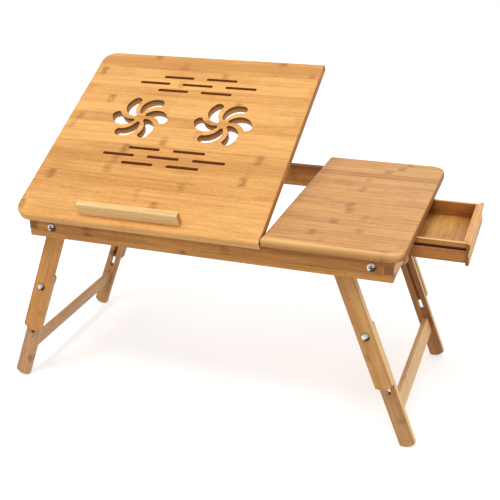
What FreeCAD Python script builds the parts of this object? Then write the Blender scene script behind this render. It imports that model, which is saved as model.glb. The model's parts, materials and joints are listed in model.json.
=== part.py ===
# Laptop stand with a tilting top, a side shelf, a drawer and four folding, extending legs.
#
# Millimetres. +Z is up and the floor is at z = 0. The table is drawn about its own middle (x across
# the front, y towards the back) and then moved so that the origin is the bottom centre of its box.
# Every sub-part is drawn in the frame of the group that it moves with:
#   frame   the middle of the table, on the floor
#   top     the hinge axis of the tilting top, with the top closed
#   prop    the pin of the prop, with the prop folded flat towards the back
#   drawer  as the frame, with the drawer closed
#   left_legs, right_legs   the middle of the leg pivots, with the legs hanging straight down

import FreeCAD, Part
import math
import os
import re
import Sketcher

SIZES = {
    # boards
    "table_length": 550, "table_depth": 350, "board_thick": 12, "top_height": 306,
    "side_board_length": 184, "board_gap": 1, "corner_radius": 22,
    "edge_round": 4, "arris_round": 0.8,
    # frame
    "rail_thick": 12, "rail_height": 34, "rail_setback": 14, "left_setback": 15,
    "right_setback": 14, "finger_height": 12, "cross_inset": 99, "cross_clear": 106,
    "corner_block_length": 27, "corner_block_depth": 20, "block_drop": 2,
    # tilting top
    "tilt_angle": 28, "tilt_gap": 0.4, "hinge_overhang": 2.5, "hinge_length": 40,
    "hinge_end_inset": 62.5, "hinge_leaf_depth": 10, "hinge_leaf_thick": 1,
    "barrel_radius": 2.2, "barrel_clear": 0.4, "hinge_pin_radius": 1, "hinge_gap": 0.3,
    "knuckle_length": 13,
    "hinge_screw_radius": 1.2, "hinge_screw_head": 2.3, "hinge_screw_length": 7,
    "hinge_screw_spread": 24,
    # ledge that stops the laptop
    "ledge_length": 150, "ledge_thick": 10, "ledge_height": 20, "ledge_inset": 11.5,
    "ledge_aside": 5.5, "ledge_round": 1.5, "ledge_dowel_radius": 3, "ledge_dowel_spread": 100,
    "ledge_dowel_depth": 6,
    # vents
    "vent_middle": 207, "slot_length": 51, "vent_slot_width": 5.2, "end_round_share": 0.52,
    "slot_pitch": 70, "slot_row_pitch": 15, "slot_bank_offset": 77, "fan_spread": 132.5,
    "blade_inner": 11, "blade_outer": 44, "blade_heel": 36, "blade_front_round": 21,
    "blade_back_round": 24, "blade_tip_round": 8, "blade_root_round": 3,
    "root_back_angle": 50, "root_front_angle": 20, "heel_angle": -15, "tip_angle": 4,
    # prop under the tilting top
    "prop_inset": 157, "prop_drop": 6.4, "prop_length": 110, "prop_thick": 12,
    "prop_height": 9, "prop_pin_radius": 2.5, "prop_bar_radius": 4, "prop_bar_depth": 10.8,
    "prop_spreader_place": 35, "prop_spreader_radius": 3, "prop_side_gap": 2.5, "prop_block_gap": 0.5,
    "batten_width": 14, "batten_height": 11.2, "pin_seat": 12,
    "rack_thick": 8, "rack_front": 34, "rack_length": 70, "rack_stop_width": 8,
    "rack_tooth_drop": 15.9, "rack_stop_drop": 4, "rack_pitch": 13, "notch_radius": 4.4,
    # legs
    "leg_lean": 20.8, "left_pivot_inset": 35.6, "right_pivot_inset": 75.6, "pivot_rise": 15.5,
    "leg_gap": 4, "slat_gap": 0.3, "upper_leg_width": 25, "upper_leg_thick": 10,
    "upper_leg_reach": 191, "lower_leg_width": 22.5, "lower_leg_thick": 9, "foot_round": 18,
    "clamp_reach": 114, "lower_leg_head": 7, "slot_end_clear": 1, "slot_foot_gap": 29.4, "leg_clear": 1,
    "running_gap": 0.05,
    "stretcher_rise": 57, "stretcher_width": 24, "stretcher_thick": 8, "tenon_width": 16,
    "tenon_thick": 5, "tenon_depth": 6, "stop_radius": 3, "stop_drop": 5, "stop_seat": 8,
    # bolts and knobs
    "bolt_radius": 3, "bolt_head_radius": 6, "bolt_head_height": 3.2, "clamp_head_radius": 5.5,
    "clamp_head_height": 3, "bolt_rim_share": 0.4, "slot_clearance": 0.25, "nut_radius": 5.5,
    "nut_height": 4.5, "washer_radius": 7, "thread_seat": 9, "bolt_end_clear": 1,
    "corner_bolt_inset": 28, "corner_bolt_rise": 18.5,
    "knob_length": 22, "knob_width": 14, "knob_height": 13, "knob_round": 4, "insert_radius": 4.6,
    "insert_depth": 11, "flange_radius": 6.5, "flange_thick": 1.2, "cross_width": 1.2,
    "cross_length": 6.4, "cross_depth": 1.2,
    # drawer
    "drawer_out": 78, "drawer_width": 150, "drawer_height": 28, "drawer_length": 150,
    "drawer_place": 7, "drawer_wall": 5, "drawer_rise": 4, "drawer_gap": 1,
    "front_lip_thick": 5, "front_core_thick": 5.5, "front_overlap": 4.5, "front_height": 31,
    "front_drop": 2, "front_gap": 0.3, "front_round": 1.8, "front_corner_radius": 2,
    "cove_radius": 24, "cove_depth": 1.8, "bottom_thick": 3, "bottom_rise": 3.8,
    "bottom_groove": 2.5, "runner_groove_height": 4.2, "runner_groove_depth": 2.5,
    "runner_groove_rise": 17.3, "runner_gap": 0.3, "guide_thick": 9, "guide_gap": 0.6,
    # where the bottom centre of the box lies, measured once the parts are built
    "origin_shift_x": 0, "origin_shift_y": 0,
}

doc = FreeCAD.newDocument("LaptopStand")
sheet = doc.addObject("Spreadsheet::Sheet", "Sizes")
for row, (alias, number) in enumerate(SIZES.items(), 1):
    sheet.set(f"A{row}", alias)
    sheet.set(f"B{row}", str(number))
    sheet.setAlias(f"B{row}", alias)
doc.recompute()

# Places worked out from the sizes. Names with an underscore are cells of the sheet.
FRAME_TOP = "(top_height - board_thick)"
RAIL_BOTTOM = f"({FRAME_TOP} - rail_height)"
RAIL_FACE = "(table_depth / 2 - rail_setback)"
RAIL_INNER = f"({RAIL_FACE} - rail_thick)"
FRAME_LEFT = "(left_setback - table_length / 2)"
FRAME_RIGHT = "(table_length / 2 - right_setback)"
SPLIT = "(table_length / 2 - side_board_length - board_gap)"
DIVIDER_LEFT = f"({SPLIT} + board_gap / 2 - rail_thick / 2)"
CROSS_SPAN = ("(cross_inset + rail_thick - table_length / 2)", f"({SPLIT} - cross_inset - rail_thick)")
CORNER_BOLT_X = f"({FRAME_RIGHT} - corner_bolt_inset)"
CORNER_BOLT_Z = f"({RAIL_BOTTOM} + corner_bolt_rise)"
HINGE_Y = f"(-{RAIL_FACE} - hinge_overhang)"
HINGE_Z = f"({FRAME_TOP} + tilt_gap / 2)"
HINGE_INSET = "(rail_setback - hinge_overhang)"
HINGE_PLACES = ("(hinge_end_inset - table_length / 2)", f"({SPLIT} - hinge_end_inset)")
SCREW_Y = "(hinge_overhang + hinge_leaf_depth / 2)"
TOP_MIDDLE = f"(({SPLIT} - table_length / 2) / 2)"
BOARD_UPPER = "(board_thick - tilt_gap / 2)"
VENT_Y = f"(vent_middle - {HINGE_INSET})"
LEDGE_X = f"({TOP_MIDDLE} - ledge_aside)"
LEDGE_Y = f"(ledge_inset - {HINGE_INSET} + ledge_thick / 2)"
DOWEL_PLACES = [f"({LEDGE_X} {sign} ledge_dowel_spread / 2)" for sign in "-+"]
LEFT_PIVOT = f"({FRAME_LEFT} + left_pivot_inset)"
RIGHT_PIVOT = f"({FRAME_RIGHT} - right_pivot_inset)"
PIVOT_Z = f"({RAIL_BOTTOM} + pivot_rise)"
STOP_ASIDE = "(upper_leg_width / 2 + stop_radius + slat_gap)"
STOP_REACH = f"(stop_drop * sin(leg_lean) + {STOP_ASIDE} * cos(leg_lean))"
STOP_Z = f"({PIVOT_Z} - stop_drop * cos(leg_lean) + {STOP_ASIDE} * sin(leg_lean))"
STOP_X = {"left": f"({LEFT_PIVOT} - {STOP_REACH})", "right": f"({RIGHT_PIVOT} + {STOP_REACH})"}
UPPER_OUTER = f"({RAIL_INNER} - leg_gap)"
UPPER_INNER = f"({UPPER_OUTER} - upper_leg_thick)"
LOWER_OUTER = f"({UPPER_INNER} - slat_gap)"
LOWER_INNER = f"({LOWER_OUTER} - lower_leg_thick)"
KNOB_FACE = f"({LOWER_INNER} - slat_gap)"
FOOT_REACH = f"(({PIVOT_Z} - foot_round) / cos(leg_lean))"
STRETCHER_REACH = f"({FOOT_REACH} + foot_round - stretcher_rise)"
PROP_Y = f"(prop_inset - {HINGE_INSET})"
PROP_Z = "(tilt_gap / 2 - prop_drop)"
PROP_PIN_Y = f"({PROP_Y} * cos(tilt_angle) - {PROP_Z} * sin(tilt_angle))"
PROP_PIN_Z = f"({PROP_Y} * sin(tilt_angle) + {PROP_Z} * cos(tilt_angle))"
PROP_ANGLE = f"asin(({PROP_PIN_Z} + prop_bar_depth) / prop_length)"
PROP_LEFT = f"({CROSS_SPAN[0]} + rack_thick + prop_side_gap)"
PROP_RIGHT = f"({CROSS_SPAN[1]} - rack_thick - prop_side_gap)"
DRAWER_BOTTOM = f"({RAIL_BOTTOM} + drawer_rise)"
DRAWER_FACE = f"({FRAME_RIGHT} + front_gap)"
DRAWER_FRONT_Y = "(-drawer_place - drawer_width / 2)"
DRAWER_BACK_Y = "(-drawer_place + drawer_width / 2)"
FRONT, BACK = -1, 1
NOTCHES, FAN_BLADES = 4, 6


def cells(text):
    """Return an expression with every size's name made a reference to the sheet."""
    return re.sub(r"[a-z]+(?:_[a-z]+)+", lambda name: "Sizes." + name.group(), str(text))


def bind(thing, name, text):
    """Bind one property of a document object to an expression in the sizes."""
    thing.setExpression(name, cells(text))


def value(text):
    """Return what an expression in the sizes comes to now."""
    result = sheet.evalExpression(cells(text))
    return float(getattr(result, "Value", result))


def place(thing, x, y, z, prefix="Placement"):
    """Bind where a document object's placement starts."""
    for axis, text in zip("xyz", (x, y, z)):
        bind(thing, f"{prefix}.Base.{axis}", text)


def turn(thing, axis, angle):
    """Turn a document object about an axis by an angle that is bound to the sizes."""
    thing.Placement = FreeCAD.Placement(FreeCAD.Vector(), FreeCAD.Rotation(axis, value(angle)))
    bind(thing, "Placement.Rotation.Angle", angle)


def new_body(label, group):
    """Start a sub-part in the frame of the group that it moves with."""
    body = doc.addObject("PartDesign::Body", label)
    body.Label = label
    along_x, along_y = FreeCAD.Vector(1, 0, 0), FreeCAD.Vector(0, 1, 0)
    x, y, z = "-origin_shift_x", "-origin_shift_y", "0"
    if group == "top":
        turn(body, along_x, "tilt_angle")
        y, z = f"{HINGE_Y} - origin_shift_y", HINGE_Z
    elif group == "prop":
        turn(body, along_x, f"-{PROP_ANGLE}")
        y = f"{HINGE_Y} + {PROP_PIN_Y} - origin_shift_y"
        z = f"{HINGE_Z} + {PROP_PIN_Z}"
    elif group == "drawer":
        x = "drawer_out - origin_shift_x"
    elif group == "left_legs":
        turn(body, along_y, "leg_lean")
        x, z = f"{LEFT_PIVOT} - origin_shift_x", PIVOT_Z
    elif group == "right_legs":
        turn(body, along_y, "-leg_lean")
        x, z = f"{RIGHT_PIVOT} - origin_shift_x", PIVOT_Z
    place(body, x, y, z)
    return body


def box(body, low, size, cut=False):
    """Add a box to a body, or cut it out, from its low corner and its three sizes."""
    kind = "PartDesign::SubtractiveBox" if cut else "PartDesign::AdditiveBox"
    feature = body.newObject(kind, "Box")
    for name, text in zip(("Length", "Width", "Height"), size):
        bind(feature, name, text)
    place(feature, *low)
    return feature


def rod(body, start, radius, length, axis, cut=False):
    """Add a round rod to a body, or cut it out, from the centre of one end along +axis."""
    kind = "PartDesign::SubtractiveCylinder" if cut else "PartDesign::AdditiveCylinder"
    feature = body.newObject(kind, "Rod")
    direction = {"x": FreeCAD.Vector(1, 0, 0), "y": FreeCAD.Vector(0, 1, 0),
                 "z": FreeCAD.Vector(0, 0, 1)}[axis]
    feature.Placement = FreeCAD.Placement(
        FreeCAD.Vector(), FreeCAD.Rotation(FreeCAD.Vector(0, 0, 1), direction))
    bind(feature, "Radius", radius)
    bind(feature, "Height", length)
    place(feature, *start)
    return feature


def round_edges(body, radius, level=None, axis="Z"):
    """Round every edge so far, or only those that lie flat at a level of an axis of the body."""
    doc.recompute()
    base = body.Tip
    feature = body.newObject("PartDesign::Fillet", "Rounding")
    if level is None:
        feature.UseAllEdges = True
        feature.Base = (base, ["Edge1"])
    else:
        ends = [[getattr(edge.BoundBox, axis + end) for end in ("Min", "Max")]
                for edge in base.Shape.Edges]
        flat = [f"Edge{n}" for n, (low, high) in enumerate(ends, 1)
                if max(abs(low - value(level)), abs(high - value(level))) < 1e-4]
        feature.Base = (base, flat)
    bind(feature, "Radius", radius)
    return feature


def new_sketch(body, plane, offset="0"):
    """Attach a sketch to one of a body's own planes, moved along the plane's normal."""
    sketch = body.newObject("Sketcher::SketchObject", "Outline")
    origin = next(item for item in body.Origin.OriginFeatures if item.Role == plane)
    sketch.AttachmentSupport = [(origin, "")]
    sketch.MapMode = "FlatFace"
    bind(sketch, "AttachmentOffset.Base.z", offset)
    return sketch


def arc_between(start, end, radius, left):
    """Return the short arc from start to end whose centre is to the left or right of the way."""
    along = end - start
    half = along.Length / 2
    aside = FreeCAD.Vector(-along.y, along.x, 0).normalize() * (1 if left else -1)
    centre = (start + end) / 2 + aside * math.sqrt(max(radius * radius - half * half, 0))
    first, last = (start, end) if left else (end, start)
    angles = [math.atan2(point.y - centre.y, point.x - centre.x) for point in (first, last)]
    circle = Part.Circle(centre, FreeCAD.Vector(0, 0, 1), radius)
    return Part.ArcOfCircle(circle, angles[0], angles[1] if angles[1] > angles[0]
                            else angles[1] + 2 * math.pi)


def outline(sketch, corners, arcs=None):
    """Draw a closed outline through corners, each a pair of expressions in the sizes.

    arcs maps the number of an edge, counted from the corner it leaves, to the arc's radius and
    whether the arc swells out of the outline. Every corner and radius is constrained.
    """
    arcs = arcs or {}
    points = [FreeCAD.Vector(value(x), value(y), 0) for x, y in corners]
    area = sum(a.x * b.y - b.x * a.y for a, b in zip(points, points[1:] + points[:1]))
    ends = []
    for number, start in enumerate(points):
        end = points[(number + 1) % len(points)]
        if number in arcs:
            radius, swells = arcs[number]
            left = swells == (area > 0)
            edge = sketch.addGeometry(arc_between(start, end, value(radius), left), False)
            ends.append((edge, 1, 2) if left else (edge, 2, 1))
        else:
            edge = sketch.addGeometry(Part.LineSegment(start, end), False)
            ends.append((edge, 1, 2))
    for (edge, _, last), (following, first, _) in zip(ends, ends[1:] + ends[:1]):
        sketch.addConstraint(Sketcher.Constraint("Coincident", edge, last, following, first))
    for number, ((edge, first, _), corner) in enumerate(zip(ends, corners)):
        for kind, line, text in (("DistanceX", -2, corner[0]), ("DistanceY", -1, corner[1])):
            if text == "0":
                sketch.addConstraint(Sketcher.Constraint("PointOnObject", edge, first, line))
                continue
            index = sketch.addConstraint(Sketcher.Constraint(kind, -1, 1, edge, first, value(text)))
            bind(sketch, f"Constraints[{index}]", text)
        if number in arcs:
            radius = arcs[number][0]
            index = sketch.addConstraint(Sketcher.Constraint("Radius", edge, value(radius)))
            bind(sketch, f"Constraints[{index}]", radius)


def pad(body, sketch, length, cut=False):
    """Extrude a sketch along its plane's normal, or pocket it that far the other way."""
    feature = body.newObject("PartDesign::Pocket" if cut else "PartDesign::Pad", "Extrusion")
    feature.Profile = sketch
    bind(feature, "Length", length)
    return feature


def turned(body, x, z, corners, arcs=None):
    """Add a round piece turned about a line along y at x, z; corners are (radius, y) pairs."""
    sketch = new_sketch(body, "XY_Plane", z)
    bind(sketch, "AttachmentOffset.Base.x", x)
    outline(sketch, corners, arcs)
    feature = body.newObject("PartDesign::Revolution", "Turning")
    feature.Profile = sketch
    feature.ReferenceAxis = (sketch, ["V_Axis"])
    feature.Angle = 360
    return feature


def group_of(label, members):
    """Gather separate solids into one sub-part."""
    compound = doc.addObject("Part::Compound", label)
    compound.Label = label
    compound.Links = members
    return compound


def side_name(side):
    return "front" if side == FRONT else "back"


def across(side, inner, outer):
    """Return where a span between two distances from the middle starts in y, and its width."""
    low = f"-({outer})" if side == FRONT else inner
    return low, f"({outer} - {inner})"


# ---- frame ---------------------------------------------------------------------------------

def long_rail(side):
    """Front or back rail, with the slots for the end rails' fingers."""
    rail = new_body(f"{side_name(side)}_rail", "frame")
    low, width = across(side, RAIL_INNER, RAIL_FACE)
    length = f"({FRAME_RIGHT} - {FRAME_LEFT})"
    box(rail, (FRAME_LEFT, low, RAIL_BOTTOM), (length, width, "rail_height"))
    round_edges(rail, "arris_round")
    finger_z = f"{RAIL_BOTTOM} + (rail_height - finger_height) / 2"
    for x in (FRAME_LEFT, f"{FRAME_RIGHT} - rail_thick"):
        box(rail, (x, low, finger_z), ("rail_thick", width, "finger_height"), cut=True)
    through = f"{RAIL_INNER} * {side} - rail_thick * {int(side == FRONT)}"
    for x, z in ((LEFT_PIVOT, PIVOT_Z), (CORNER_BOLT_X, CORNER_BOLT_Z)):
        rod(rail, (x, through, z), "bolt_radius", "rail_thick", "y", cut=True)
    blind = f"{RAIL_INNER} * {side} - thread_seat * {int(side == FRONT)}"
    rod(rail, (RIGHT_PIVOT, blind, PIVOT_Z), "bolt_radius", "thread_seat", "y", cut=True)
    seat = f"{RAIL_INNER} * {side} - stop_seat * {int(side == FRONT)}"
    for x in STOP_X.values():
        rod(rail, (x, seat, STOP_Z), "stop_radius", "stop_seat", "y", cut=True)
    if side == FRONT:
        leaf_z = f"{FRAME_TOP} - hinge_leaf_thick"
        for x in HINGE_PLACES:
            box(rail, (f"{x} - hinge_length / 2", f"-{RAIL_FACE}", leaf_z),
                ("hinge_length", "hinge_leaf_depth", "hinge_leaf_thick"), cut=True)
    return rail


def end_rail(label, x, low, high, sides):
    """End rail, or a piece of one, from low to high, with a finger through the long rail of each side."""
    rail = new_body(label, "frame")
    box(rail, (x, low, RAIL_BOTTOM), ("rail_thick", f"{high} - {low}", "rail_height"))
    round_edges(rail, "arris_round")
    for side in sides:
        finger_low, length = across(side, RAIL_INNER, RAIL_FACE)
        box(rail, (x, finger_low, f"{RAIL_BOTTOM} + (rail_height - finger_height) / 2"),
            ("rail_thick", length, "finger_height"))
    return rail


def end_rails():
    """Left end rail, and the two short pieces of the right one beside the drawer."""
    front, back = f"(-{RAIL_INNER})", RAIL_INNER
    x = f"({FRAME_RIGHT} - rail_thick)"
    left = end_rail("left_end_rail", FRAME_LEFT, front, back, (FRONT, BACK))
    beside = [end_rail("right_end_front", x, front, f"({DRAWER_FRONT_Y} - drawer_gap)", [FRONT]),
              end_rail("right_end_back", x, f"({DRAWER_BACK_Y} + drawer_gap)", back, [BACK])]
    return [left, group_of("right_end_rail", beside)]


def cross_rail(label, x):
    """Rail from front to back, cut away at its ends so that the folded legs lie under it."""
    rail = new_body(label, "frame")
    size = ("rail_thick", f"2 * {RAIL_INNER}", "rail_height")
    box(rail, (x, f"-{RAIL_INNER}", RAIL_BOTTOM), size)
    round_edges(rail, "arris_round")
    notch_height = "(pivot_rise + upper_leg_width / 2 + leg_clear)"
    notch = ("rail_thick", f"{RAIL_INNER} - cross_clear", notch_height)
    for y in (f"-{RAIL_INNER}", "cross_clear"):
        box(rail, (x, y, RAIL_BOTTOM), notch, cut=True)
    return rail


def notch_rack(hand, x):
    """Toothed strip on the cross rail for the foot of the prop."""
    rack = new_body(f"{hand}_notch_rack", "frame")
    tooth_z = f"({FRAME_TOP} - rack_tooth_drop)"
    box(rack, (x, "rack_front", f"{RAIL_BOTTOM} + block_drop"),
        ("rack_thick", "rack_length", "rail_height - block_drop - rack_stop_drop"))
    box(rack, (x, "rack_front + rack_stop_width", tooth_z),
        ("rack_thick", "rack_length - rack_stop_width", "rack_tooth_drop"), cut=True)
    foot_y = f"({HINGE_Y} + {PROP_PIN_Y} + prop_length * cos({PROP_ANGLE}))"
    for number in range(NOTCHES):
        notch_y = f"{foot_y} + {number} * rack_pitch"
        rod(rack, (x, notch_y, tooth_z), "notch_radius", "rack_thick", "x", cut=True)
    return rack


def side_top():
    """Fixed shelf beside the tilting top."""
    board = new_body("side_top", "frame")
    left, right = f"({SPLIT} + board_gap)", "(table_length / 2)"
    low, high = "-(table_depth / 2)", "(table_depth / 2)"
    sketch = board_outline(board, FRAME_TOP, left, right, low, high, "right")
    pad(board, sketch, "board_thick")
    round_edges(board, "edge_round", "top_height")
    return board


def board_outline(board, level, left, right, low, high, rounded):
    """Sketch a board with the two corners of one end rounded."""
    sketch = new_sketch(board, "XY_Plane", level)
    front, back = f"{low} + corner_radius", f"{high} - corner_radius"
    if rounded == "right":
        inner = f"{right} - corner_radius"
        corners = [(left, low), (inner, low), (right, front), (right, back), (inner, high),
                   (left, high)]
    else:
        inner = f"{left} + corner_radius"
        corners = [(right, high), (inner, high), (left, back), (left, front), (inner, low),
                   (right, low)]
    corner = ("corner_radius", True)
    outline(sketch, corners, {1: corner, 3: corner})
    return sketch


def corner_block(side):
    """Block behind the right end of a long rail, held by the bolt through the rail."""
    block = new_body(f"{side_name(side)}_corner_block", "frame")
    low, width = across(side, f"({RAIL_INNER} - corner_block_depth)", RAIL_INNER)
    x = f"{FRAME_RIGHT} - rail_thick - corner_block_length"
    box(block, (x, low, f"{RAIL_BOTTOM} + block_drop"),
        ("corner_block_length", width, "rail_height - block_drop"))
    round_edges(block, "arris_round")
    start = f"{RAIL_INNER} * {side} - thread_seat * {int(side == BACK)}"
    rod(block, (CORNER_BOLT_X, start, CORNER_BOLT_Z), "bolt_radius", "thread_seat", "y", cut=True)
    return block


def drawer_guide(side):
    """Strip under the shelf with the tongue that the drawer's side hangs on."""
    guide = new_body(f"{side_name(side)}_drawer_guide", "frame")
    face = DRAWER_FRONT_Y if side == FRONT else DRAWER_BACK_Y
    x = f"({DIVIDER_LEFT} + rail_thick)"
    length = f"{FRAME_RIGHT} - rail_thick - {x}"
    low = f"{face} - guide_gap - guide_thick" if side == FRONT else f"{face} + guide_gap"
    box(guide, (x, low, f"{RAIL_BOTTOM} + block_drop"),
        (length, "guide_thick", "rail_height - block_drop"))
    round_edges(guide, "arris_round")
    reach = "(guide_gap + runner_groove_depth - runner_gap)"
    tongue_low = f"{face} - guide_gap" if side == FRONT else f"{face} + guide_gap - {reach}"
    box(guide, (x, tongue_low, f"{DRAWER_BOTTOM} + runner_groove_rise + runner_gap"),
        (length, reach, "runner_groove_height - 2 * runner_gap"))
    return guide


# ---- bolts, pins and dowels ----------------------------------------------------------------

def bolt(label, group, x, z, side, seat, head_radius, head_height, length, outward=1, cross=False):
    """Domed bolt along y. seat is the distance from the middle to the face under its head."""
    body = new_body(label, group)
    way = side * outward
    under = f"({seat} * {side})"
    head = f"({under} + {head_height} * {way} * bolt_rim_share)"
    crown = f"({under} + {head_height} * {way})"
    dome = f"({head_height} * (1 - bolt_rim_share))"
    dome_round = f"({head_radius} * {head_radius} + {dome} * {dome}) / (2 * {dome})"
    corners = [("0", f"{under} - {length} * {way}"), ("bolt_radius", f"{under} - {length} * {way}"),
               ("bolt_radius", under), (head_radius, under), (head_radius, head), ("0", crown)]
    turned(body, x, z, corners, {4: (dome_round, True)})
    if cross:
        low = f"{crown} - cross_depth * {int(way > 0)}"
        box(body, (f"{x} - cross_length / 2", low, f"{z} - cross_width / 2"),
            ("cross_length", "cross_depth", "cross_width"), cut=True)
        box(body, (f"{x} - cross_width / 2", low, f"{z} - cross_length / 2"),
            ("cross_width", "cross_depth", "cross_length"), cut=True)
    return body


def ring(label, group, x, z, start, bore, radius, length):
    """Plain ring about a line along y, from start towards +y."""
    body = new_body(label, group)
    rod(body, (x, start, z), radius, length, "y")
    rod(body, (x, start, z), bore, length, "y", cut=True)
    return body


def pivot_fasteners():
    """Bolts, washers and nuts that the legs fold on, and the dowels that stop them."""
    left_bolts, left_nuts, right_bolts, washers, stops, corner_bolts = [], [], [], [], [], []
    left_length = "(rail_thick + leg_gap + upper_leg_thick + nut_height)"
    right_length = "(upper_leg_thick + leg_gap + thread_seat + slat_gap)"
    corner_length = "(rail_thick + thread_seat)"
    nut_face = f"({UPPER_INNER} - slat_gap)"
    head = ("bolt_head_radius", "bolt_head_height")
    for side in (FRONT, BACK):
        end = side_name(side)
        left_bolts.append(bolt(f"left_{end}_pivot_bolt", "frame", LEFT_PIVOT, PIVOT_Z, side,
                               RAIL_FACE, *head, left_length, cross=True))
        nut_low = f"{nut_face} * {side} - nut_height * {int(side == BACK)}"
        left_nuts.append(ring(f"left_{end}_pivot_nut", "frame", LEFT_PIVOT, PIVOT_Z, nut_low,
                              "bolt_radius", "nut_radius", "nut_height"))
        right_bolts.append(bolt(f"right_{end}_pivot_bolt", "frame", RIGHT_PIVOT, PIVOT_Z, side,
                                nut_face, *head, right_length, outward=-1))
        corner_bolts.append(bolt(f"{end}_corner_bolt", "frame", CORNER_BOLT_X, CORNER_BOLT_Z, side,
                                 RAIL_FACE, *head, corner_length, cross=True))
        washer_low = across(side, f"({UPPER_OUTER} + slat_gap)", RAIL_INNER)[0]
        stop_low, stop_length = across(side, UPPER_INNER, f"({RAIL_INNER} + stop_seat)")
        for hand, x in (("left", LEFT_PIVOT), ("right", RIGHT_PIVOT)):
            washers.append(ring(f"{hand}_{end}_washer", "frame", x, PIVOT_Z, washer_low,
                                "bolt_radius", "washer_radius", "leg_gap - slat_gap"))
            stop = new_body(f"{hand}_{end}_stop", "frame")
            rod(stop, (STOP_X[hand], stop_low, STOP_Z), "stop_radius", stop_length, "y")
            stops.append(stop)
    return [group_of("left_pivot_bolts", left_bolts), group_of("left_pivot_nuts", left_nuts),
            group_of("right_pivot_bolts", right_bolts), group_of("pivot_washers", washers),
            group_of("leg_stops", stops), group_of("corner_bolts", corner_bolts)]


# ---- hinges and the tilting top ------------------------------------------------------------

def hinge_leaf(hand, x, moving):
    """One leaf of a butt hinge. The fixed leaf has the middle knuckle, the moving one the others."""
    leaf = new_body(f"{hand}_{'top' if moving else 'frame'}_leaf", "top" if moving else "frame")
    centre_y, centre_z = ("0", "0") if moving else (HINGE_Y, HINGE_Z)
    plate_z = "tilt_gap / 2" if moving else f"{HINGE_Z} - tilt_gap / 2 - hinge_leaf_thick"
    box(leaf, (f"{x} - hinge_length / 2", f"{centre_y} + hinge_overhang", plate_z),
        ("hinge_length", "hinge_leaf_depth", "hinge_leaf_thick"))
    outer = "((hinge_length - knuckle_length) / 2 - hinge_gap)"
    spans = [(f"{x} - knuckle_length / 2", "knuckle_length")]
    if moving:
        spans = [(f"{x} - hinge_length / 2", outer), (f"{x} + hinge_length / 2 - {outer}", outer)]
    for start, length in spans:
        box(leaf, (start, centre_y, plate_z), (length, "hinge_overhang", "hinge_leaf_thick"))
        rod(leaf, (start, centre_y, centre_z), "barrel_radius", length, "x")
    bore = "hinge_pin_radius + running_gap" if moving else "hinge_pin_radius"
    rod(leaf, (f"{x} - hinge_length / 2", centre_y, centre_z), bore, "hinge_length", "x", cut=True)
    for sign in "-+":
        rod(leaf, (f"{x} {sign} hinge_screw_spread / 2", f"{centre_y} + {SCREW_Y}", plate_z),
            "hinge_screw_head", "hinge_leaf_thick", "z", cut=True)
    return leaf


def hinge_screw(label, x, moving):
    """Countersunk screw: its cone fills the leaf's hole and its shank bites the wood."""
    screw = new_body(label, "top" if moving else "frame")
    y = SCREW_Y if moving else f"({HINGE_Y} + {SCREW_Y})"
    leaf_z = "(tilt_gap / 2)" if moving else f"({HINGE_Z} - tilt_gap / 2 - hinge_leaf_thick)"
    cone = screw.newObject("PartDesign::AdditiveCone", "Head")
    wide, narrow = ("Radius1", "Radius2") if moving else ("Radius2", "Radius1")
    bind(cone, wide, "hinge_screw_head")
    bind(cone, narrow, "hinge_screw_radius")
    bind(cone, "Height", "hinge_leaf_thick")
    place(cone, x, y, leaf_z)
    shank_z = f"{leaf_z} + hinge_leaf_thick" if moving else f"{leaf_z} - hinge_screw_length"
    rod(screw, (x, y, shank_z), "hinge_screw_radius", "hinge_screw_length", "z")
    return screw


def hinges():
    """Two butt hinges between the front rail and the tilting top."""
    frame_leaves, top_leaves, pins, frame_screws, top_screws = [], [], [], [], []
    for hand, x in zip(("left", "right"), HINGE_PLACES):
        frame_leaves.append(hinge_leaf(hand, x, False))
        top_leaves.append(hinge_leaf(hand, x, True))
        pin = new_body(f"{hand}_hinge_pin", "frame")
        start = f"{x} - hinge_length / 2"
        rod(pin, (start, HINGE_Y, HINGE_Z), "hinge_pin_radius", "hinge_length", "x")
        pins.append(pin)
        for number, sign in enumerate("-+", 1):
            screw_x = f"{x} {sign} hinge_screw_spread / 2"
            frame_screws.append(hinge_screw(f"{hand}_frame_screw_{number}", screw_x, False))
            top_screws.append(hinge_screw(f"{hand}_top_screw_{number}", screw_x, True))
    return [group_of("hinge_frame_leaves", frame_leaves), group_of("hinge_top_leaves", top_leaves),
            group_of("hinge_pins", pins), group_of("hinge_frame_screws", frame_screws),
            group_of("hinge_top_screws", top_screws)]


def tilt_top():
    """Tilting board with its vents, hinge seats and dowel holes."""
    board = new_body("tilt_top", "top")
    level = "tilt_gap / 2"
    low, high = f"(-{HINGE_INSET})", f"(table_depth - {HINGE_INSET})"
    sketch = board_outline(board, level, "-(table_length / 2)", SPLIT, low, high, "left")
    pad(board, sketch, "board_thick - tilt_gap")
    round_edges(board, "edge_round", f"{level} + board_thick - tilt_gap")
    vent_slots(board)
    for sign in "-+":
        vent_fan(board, f"({TOP_MIDDLE} {sign} fan_spread / 2)")
    for x in HINGE_PLACES:
        start = f"{x} - hinge_length / 2"
        box(board, (start, "0", level),
            ("hinge_length", "hinge_overhang + hinge_leaf_depth", "hinge_leaf_thick"), cut=True)
        rod(board, (f"{start} - hinge_gap", "0", "0"), "barrel_radius + barrel_clear",
            "hinge_length + 2 * hinge_gap", "x", cut=True)
    for x in DOWEL_PLACES:
        rod(board, (x, LEDGE_Y, f"{BOARD_UPPER} - ledge_dowel_depth"), "ledge_dowel_radius",
            "ledge_dowel_depth", "z", cut=True)
    return board


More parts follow.
